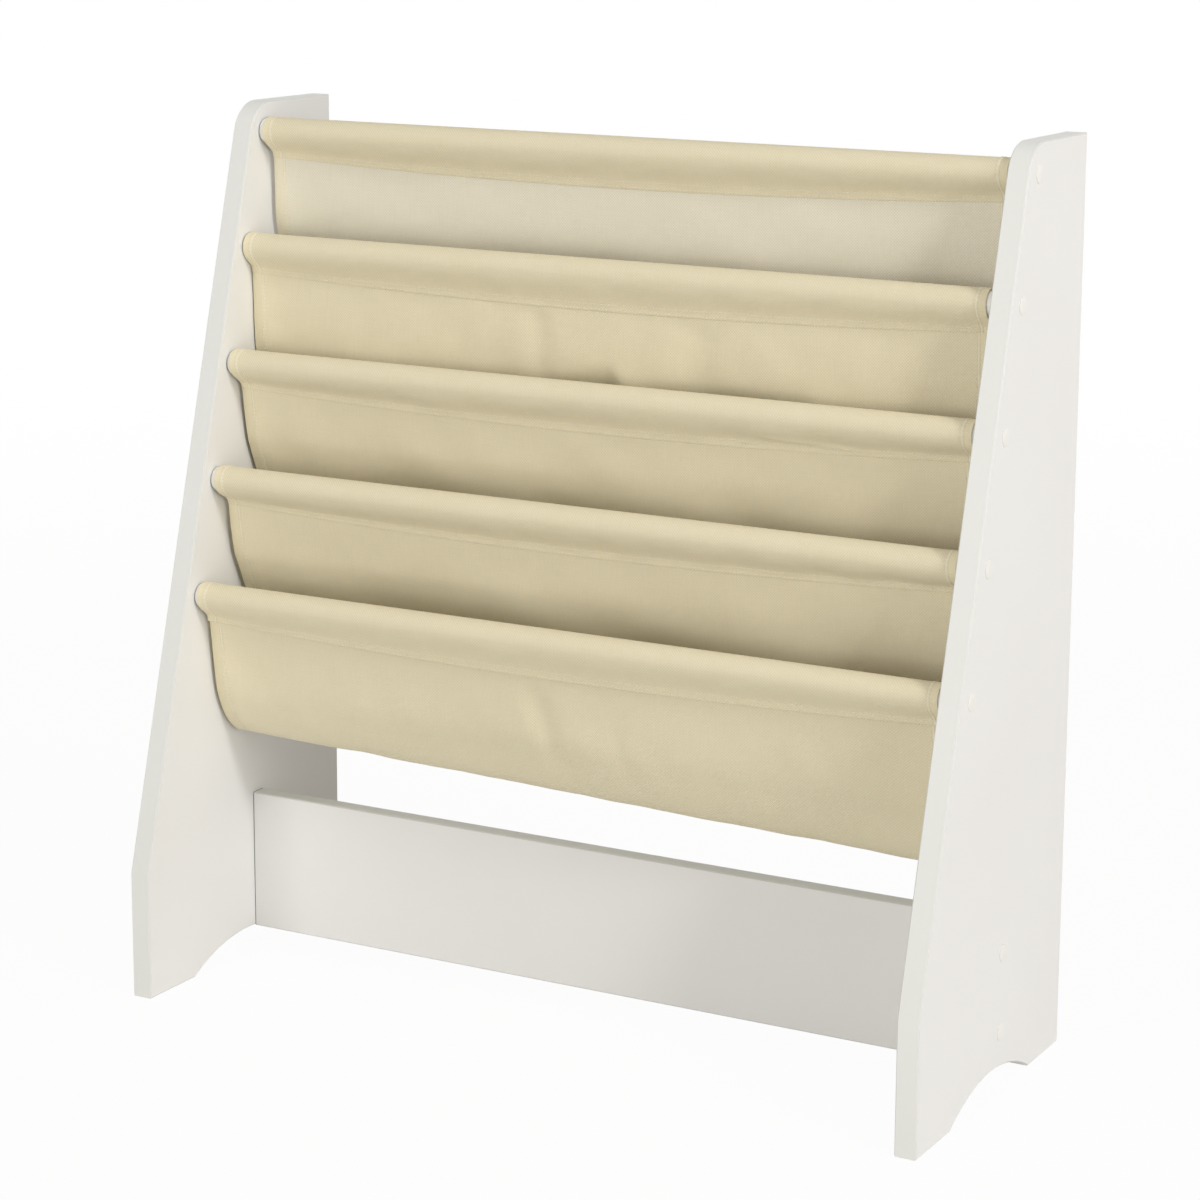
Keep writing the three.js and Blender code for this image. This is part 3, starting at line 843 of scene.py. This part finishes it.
def board_finish(name, axis):
    """Satin white with a cooler edge strip wherever the face doesn't look along the
    given axis, and a painted shade on the curved edges between."""
    board = Finish(name, linear(238, 238, 236), 0.42, Specular_IOR_Level=0.3)
    place = board.node("ShaderNodeTexCoord", output="Object")
    normal = board.node("ShaderNodeNewGeometry", output="Normal")
    facing = board.node("ShaderNodeSeparateXYZ", (), normal, output=axis).abs()
    broad = facing > BROAD
    painted_edge_shade = (facing > ROUNDED[0]) - (facing > ROUNDED[1])
    cloud = board.node("ShaderNodeTexNoise", (), Vector=place, Scale=6.0, Detail=2.0)
    face = board.mix(cloud, linear(236, 235, 234), linear(241, 241, 240))
    edge = board.mix(cloud, linear(232, 234, 231), linear(237, 238, 236))
    # The rounded edges get a painted shade, a darker white that tones down the light they catch.
    plain = board.mix(painted_edge_shade, board.mix(broad, edge, face), linear(223, 223, 221))
    board.feed("Base Color", board.mix(painted_joint_shade(board, place), plain, SHADE))
    grain = board.node("ShaderNodeTexNoise", (), Vector=place, Scale=1400.0, Detail=3.0)
    board.feed("Roughness", 0.36 + grain * 0.14)
    board.bump(grain, 0.00004, 0.5)
    return board.material


def plain_white(name, color, roughness):
    """Painted wood or plastic: one white with a faint cloudiness, and painted shade at the gap to
    a side board.
    """
    white = Finish(name, color, roughness)
    place = white.node("ShaderNodeTexCoord", output="Object")
    cloud = white.node("ShaderNodeTexNoise", (), Vector=place, Scale=40.0, Detail=2.0)
    even = white.mix(cloud, tuple(c * 0.97 for c in color), color)
    white.feed("Base Color", white.mix(painted_joint_shade(white, place), even, SHADE))
    white.feed("Roughness", roughness - 0.05 + cloud * 0.1)
    return white.material


side_white = board_finish("satin_white_side_foil", "X")
cross_white = board_finish("satin_white_cross_foil", "Y")
rod_white = plain_white("white_painted_rod", linear(242, 242, 240), 0.4)
cap_white = plain_white("white_cap_plastic", linear(241, 240, 236), 0.3)
screw_zinc = Finish("zinc_plated_steel", (0.62, 0.62, 0.64), 0.35, Metallic=1.0)
speck = screw_zinc.node("ShaderNodeTexNoise", (), Scale=900.0, Detail=2.0)
screw_zinc.feed("Roughness", 0.28 + speck * 0.15)
print("finishes so far:", [material.name for material in bpy.data.materials][-5:])

# %% [markdown]
# The cloth is a cream canvas in a coarse plain weave: under and over threads make a fine
# checker. The weave reads the cloth's own UV map, in metres, so it follows every bend.
# Threads differ a little in thickness and colour. Light also comes through such a thin
# cloth, warmer than it went in, so a share of a translucent shader lies over the cloth's
# own. The folded hems are a little lighter and yellower than the single layer. Between
# their two rows the cloth puffs out and gets a painted highlight, and the rows lie in
# grooves of painted shade.

# %% Cream canvas
WEAVE = 0.0024  # from one raised thread to the next but one
THROUGH = 0.06  # the share of light that the cloth lets through
WARM = (0.80, 0.66, 0.38)  # the colour of that light
DRAWN_OUT = ((40.0, 900.0, 1.0), (900.0, 40.0, 1.0))  # the noise along either thread
HEM_EDGE = 0.0004  # the hem's colour sets in from this before its inner row to this after
# The puff gets a painted highlight and the grooves a painted shade, over these distances.
PUFF_HIGHLIGHT_SPREAD = (0.0004, 0.0012)  # from the middle between the rows: all light, and none
GROOVE_SHADE = (0.0003, 0.0009)  # from a row: all dark, and none
PUFF_HIGHLIGHT_CREAM = linear(250, 243, 221)


def canvas_finish(name, color, pale, hem_color, rows):
    """A weave from the product of two sine waves along and across the cloth, and slubs
    from noise drawn out along each thread direction. A hem's mask is how far a point
    lies outside the inner thread row. The puff's painted highlight falls with the distance
    from the middle between the rows, and the grooves' painted shade with the distance
    from a row."""
    canvas = Finish(name, color, 0.88, Sheen_Weight=0.12)
    uv = canvas.node("ShaderNodeUVMap", {"uv_map": "UVMap"})
    across_u = canvas.node("ShaderNodeSeparateXYZ", (), uv, output="X")
    along_v = canvas.node("ShaderNodeSeparateXYZ", (), uv, output="Y")
    turn = 2 * math.pi / WEAVE
    lattice = (across_u * turn).sin() * (along_v * turn).sin()
    slubs = []
    for stretch in DRAWN_OUT:
        drawn = canvas.node("ShaderNodeMapping", (), Vector=uv, Scale=stretch)
        slubs.append(canvas.node("ShaderNodeTexNoise", (), Vector=drawn, Scale=1.0, Detail=2.0))
    slub = (slubs[0] + slubs[1]) * 0.5
    cloud = canvas.node("ShaderNodeTexNoise", (), Vector=uv, Scale=9.0, Detail=3.0)
    dark = tuple(c * f for c, f in zip(color, (0.88, 0.86, 0.80)))
    base = canvas.mix(lattice * 0.45 + slub * 0.7 + cloud * 0.2, dark, pale)
    apart = (rows[1] - rows[0]) / 2
    out = across_u.abs() - (CLOTH_HALF - rows[1])
    beside = (out - apart).abs()
    hem = out.ramp(-HEM_EDGE, HEM_EDGE)
    # Masks for the painted highlight on the puff and the painted shade in the grooves.
    puff = beside.ramp(*PUFF_HIGHLIGHT_SPREAD, 1.0, 0.0)
    painted_groove_shade = (beside - apart).abs().ramp(*GROOVE_SHADE, 1.0, 0.0)
    base = canvas.mix(hem * 0.45, base, hem_color)
    # The puff's painted highlight, then the grooves' painted shade.
    base = canvas.mix(puff * 0.75, base, PUFF_HIGHLIGHT_CREAM)
    canvas.feed("Base Color", canvas.mix(painted_groove_shade * 0.60, base, dark))
    canvas.feed("Roughness", 0.82 + slub * 0.12)
    canvas.bump(lattice * 0.7 + slub * 0.9, 0.00012, 0.8)
    canvas.cover(canvas.node("ShaderNodeBsdfTranslucent", (), WARM), THROUGH)
    return canvas.material


CREAM, CREAM_PALE = linear(240, 231, 201), linear(248, 240, 214)
# The top sheet's canvas is painted paler, standing in for light that comes through it from
# behind.
BACKLIT, BACKLIT_PALE = linear(243, 237, 219), linear(250, 246, 232)
HEM_CREAM = linear(246, 236, 202)
cream = canvas_finish("cream_canvas", CREAM, CREAM_PALE, HEM_CREAM, SHEET_ROWS)
cream_sleeve = canvas_finish("cream_canvas_sleeve", CREAM, CREAM_PALE, HEM_CREAM, SLEEVE_ROWS)
cream_backlit = canvas_finish("cream_canvas_top_sheet_painted_backlight", BACKLIT, BACKLIT_PALE, HEM_CREAM, SHEET_ROWS)
thread_cream = Finish("cream_thread", linear(238, 231, 208), 0.7)
twist = thread_cream.node("ShaderNodeTexNoise", (), Scale=1600.0, Detail=1.0)
strands = thread_cream.mix(twist, linear(236, 228, 203), linear(248, 242, 222))
thread_cream.feed("Base Color", strands)
print("weave of", WEAVE * 1000, "mm")

# %% [markdown]
# ## Dressing the solid pieces
#
# A carried-over piece keeps its mesh. Its curved faces are flat facets, so a small
# geometry-nodes modifier marks them as smooth and keeps every edge over 28 degrees
# sharp, which rounds the rods, caps, corners and arches to the eye.

# %% A smoothing modifier
MERGE_DISTANCE = 1e-6
SHARP_OVER = math.radians(28)


def smooth_under(angle):
    """A modifier group that shades faces smooth and marks edges over the angle sharp."""
    group = bpy.data.node_groups.new("smooth_shallow_edges", "GeometryNodeTree")
    for way in ("INPUT", "OUTPUT"):
        group.interface.new_socket("Geometry", in_out=way, socket_type="NodeSocketGeometry")
    tree = Tree(group)
    shape = tree.node("NodeGroupInput")
    merged = tree.node("GeometryNodeMergeByDistance", Geometry=shape, Distance=MERGE_DISTANCE)
    faces = tree.node("GeometryNodeSetShadeSmooth", {"domain": "FACE"}, Geometry=merged)
    bent = tree.node("GeometryNodeInputMeshEdgeAngle", output="Unsigned Angle")
    less = {"data_type": "FLOAT", "operation": "LESS_THAN"}
    shallow = tree.node("FunctionNodeCompare", less, bent, angle)
    by_edge = {"domain": "EDGE"}
    edges = tree.node("GeometryNodeSetShadeSmooth", by_edge, Geometry=faces, Shade_Smooth=shallow)
    tree.fill(tree.nodes.new("NodeGroupOutput").inputs["Geometry"], edges)
    return group


smoothing = smooth_under(SHARP_OVER)
print("modifier group", smoothing.name, "with", len(smoothing.nodes), "nodes")

# %% [markdown]
# Now each piece gets its finish. The first letters of a node's name tell what it is made
# of. The top pocket looks paler than the others because light comes through it from
# behind, so its canvas is painted paler to stand for that light. The top pocket looks
# paler than the others in the photograph, perhaps because light comes through it from
# behind, so it gets a paler canvas.

# %% Assign finishes
SOLID_FINISHES = {
    "side_board_": side_white,
    "cross_board": cross_white,
    "rod_": rod_white,
    "cap_": cap_white,
    "screw_": screw_zinc.material,
}


def dress(node, material):
    """Gives a carried-over piece its finish and the smoothing."""
    piece = nodes[node]
    for place in piece.material_slots:
        place.link = "OBJECT"
        place.material = material
    modifier = piece.modifiers.new("smooth_shallow_edges", "NODES")
    modifier.node_group = smoothing


dressed = 0
for node in nodes:
    for start, material in SOLID_FINISHES.items():
        if node.startswith(start):
            dress(node, material)
            dressed += 1
for number in range(1, ROD_COUNT + 1):
    bpy.data.objects[f"cloth_rod_sleeve_{number}"].data.materials.append(cream_sleeve)
for number in range(1, len(POCKETS) + 1):
    sheet = bpy.data.objects[f"cloth_sheet_{number}"]
    sheet.data.materials.append(cream_backlit if number == 1 else cream)
for piece in threads:
    piece.data.materials.append(thread_cream.material)
sheets = ROD_COUNT + len(POCKETS)
print("finished", dressed, "solids,", sheets, "sheets and", len(threads), "threads")

# %% [markdown]
# ## Room, light and camera
#
# The floor and the backdrop look white to the camera, as in the photograph, and the
# floor keeps a faint shadow. The room sends a weak, slightly warm light from all sides.
# The rays that the camera sees are told apart from the rest by the Light Path node.

# %% Floor and world
REACH = 60.0
FLOOR_COLOR = (0.70, 0.685, 0.65)  # what the floor sends back to the shelf
FLOOR_WHITE = 0.96  # the share of plain white in what the camera sees of the floor
WHITE_FROM, WHITE_TO = 0.9, 3.5  # the floor fades into plain white over this distance
SKY_COLOR, SKY_STRENGTH = (1, 0.95, 0.86), 0.37


def seen_directly(tree):
    """1 for camera, glossy and transmission rays: the rays that show the background."""
    seen = tree.node("ShaderNodeLightPath", output="Is Camera Ray")
    for name in ("Is Glossy Ray", "Is Transmission Ray"):
        ray = tree.node("ShaderNodeLightPath", output=name)
        seen = tree.node("ShaderNodeMath", {"operation": "MAXIMUM"}, seen, ray)
    return seen


corners = np.array([[-1, -1, 0], [1, -1, 0], [1, 1, 0], [-1, 1, 0]]) * REACH
floor = new_piece("floor", corners, [[0, 1, 2, 3]])
pale = Finish("pale_floor", FLOOR_COLOR, 0.9)
place = pale.node("ShaderNodeTexCoord", output="Object")
far = pale.node("ShaderNodeVectorMath", {"operation": "LENGTH"}, place, output="Value")
soft = {"interpolation_type": "SMOOTHSTEP"}
fade = pale.node("ShaderNodeMapRange", soft, far, WHITE_FROM, WHITE_TO, FLOOR_WHITE, 1.0)
pale.cover(pale.node("ShaderNodeEmission"), seen_directly(pale) * fade)
floor.data.materials.append(pale.material)

world = bpy.data.worlds.new("white_studio")
world.use_nodes = True
scene.world = world
studio = Tree(world.node_tree)
studio.nodes.clear()
sky = studio.node("ShaderNodeBackground", (), SKY_COLOR, SKY_STRENGTH)
white = studio.node("ShaderNodeBackground", (), (1, 1, 1), 1.0)
either = studio.node("ShaderNodeMixShader", (), seen_directly(studio), sky, white)
studio.fill(studio.nodes.new("ShaderNodeOutputWorld").inputs["Surface"], either)
scene.view_settings.view_transform = "Standard"
print("floor", round(2 * REACH), "m wide, sky", SKY_STRENGTH)

# %% [markdown]
# The key lamp stands far to the right and fairly high, and is small for its distance, so
# the right side board throws a shadow with a visible edge on the cloth. A softer lamp
# beside it lights the boards' outer faces, a broad one in front lights the cloth, and a
# weak one hangs above.

# %% Lamps
AIM = Vector((0, 0, 0.4))  # in the middle of the shelf


def lamp(name, azimuth, elevation, distance, size, watts):
    """A square area lamp that looks at the shelf. Azimuth 0 is in front of it and 90 to
    its right, in degrees."""
    a, e = math.radians(azimuth), math.radians(elevation)
    way = Vector((math.sin(a) * math.cos(e), -math.cos(a) * math.cos(e), math.sin(e)))
    data = bpy.data.lights.new(name, "AREA")
    data.size, data.energy = size, watts
    light = bpy.data.objects.new(name, data)
    light.location = AIM + way * distance
    light.rotation_mode = "QUATERNION"
    light.rotation_quaternion = (-way).to_track_quat("-Z", "Y")
    scene.collection.objects.link(light)


lamp("key_lamp", 71, 34, 6.0, 0.8, 106)
lamp("side_lamp", 74, 8, 4.5, 2.0, 44)
lamp("front_lamp", -10, 9, 4.5, 2.2, 58)
lamp("top_lamp", 0, 85, 4.5, 3.0, 20)

# %% [markdown]
# The camera stands to the right of the front, a little above the shelf. The lens, the
# place and the angles were found from the shelf's corners in the photograph, and the
# small shift puts the shelf where it lies in the picture.

# %% Camera
SENSOR, PHOTO_WIDTH, FOCAL_PIXELS = 36, 1200, 3257
CAMERA_PLACE = (1.2425, -2.2054, 0.9429)
AZIMUTH, ELEVATION, ROLL = 28.43, 11.46, -0.41  # in degrees

camera = bpy.data.cameras.new("photo_view")
camera.sensor_width = SENSOR
camera.lens = SENSOR * FOCAL_PIXELS / PHOTO_WIDTH
camera.shift_x, camera.shift_y = -0.04, -0.08
view = bpy.data.objects.new("photo_view", camera)
view.location = CAMERA_PLACE
azimuth, elevation, roll = (math.radians(angle) for angle in (AZIMUTH, ELEVATION, ROLL))
view.rotation_mode = "XYZ"
view.rotation_euler = (math.pi / 2 - elevation, roll, azimuth)
scene.collection.objects.link(view)
scene.camera = view
print("camera", AZIMUTH, "degrees to the right, lens", round(camera.lens, 1), "mm")
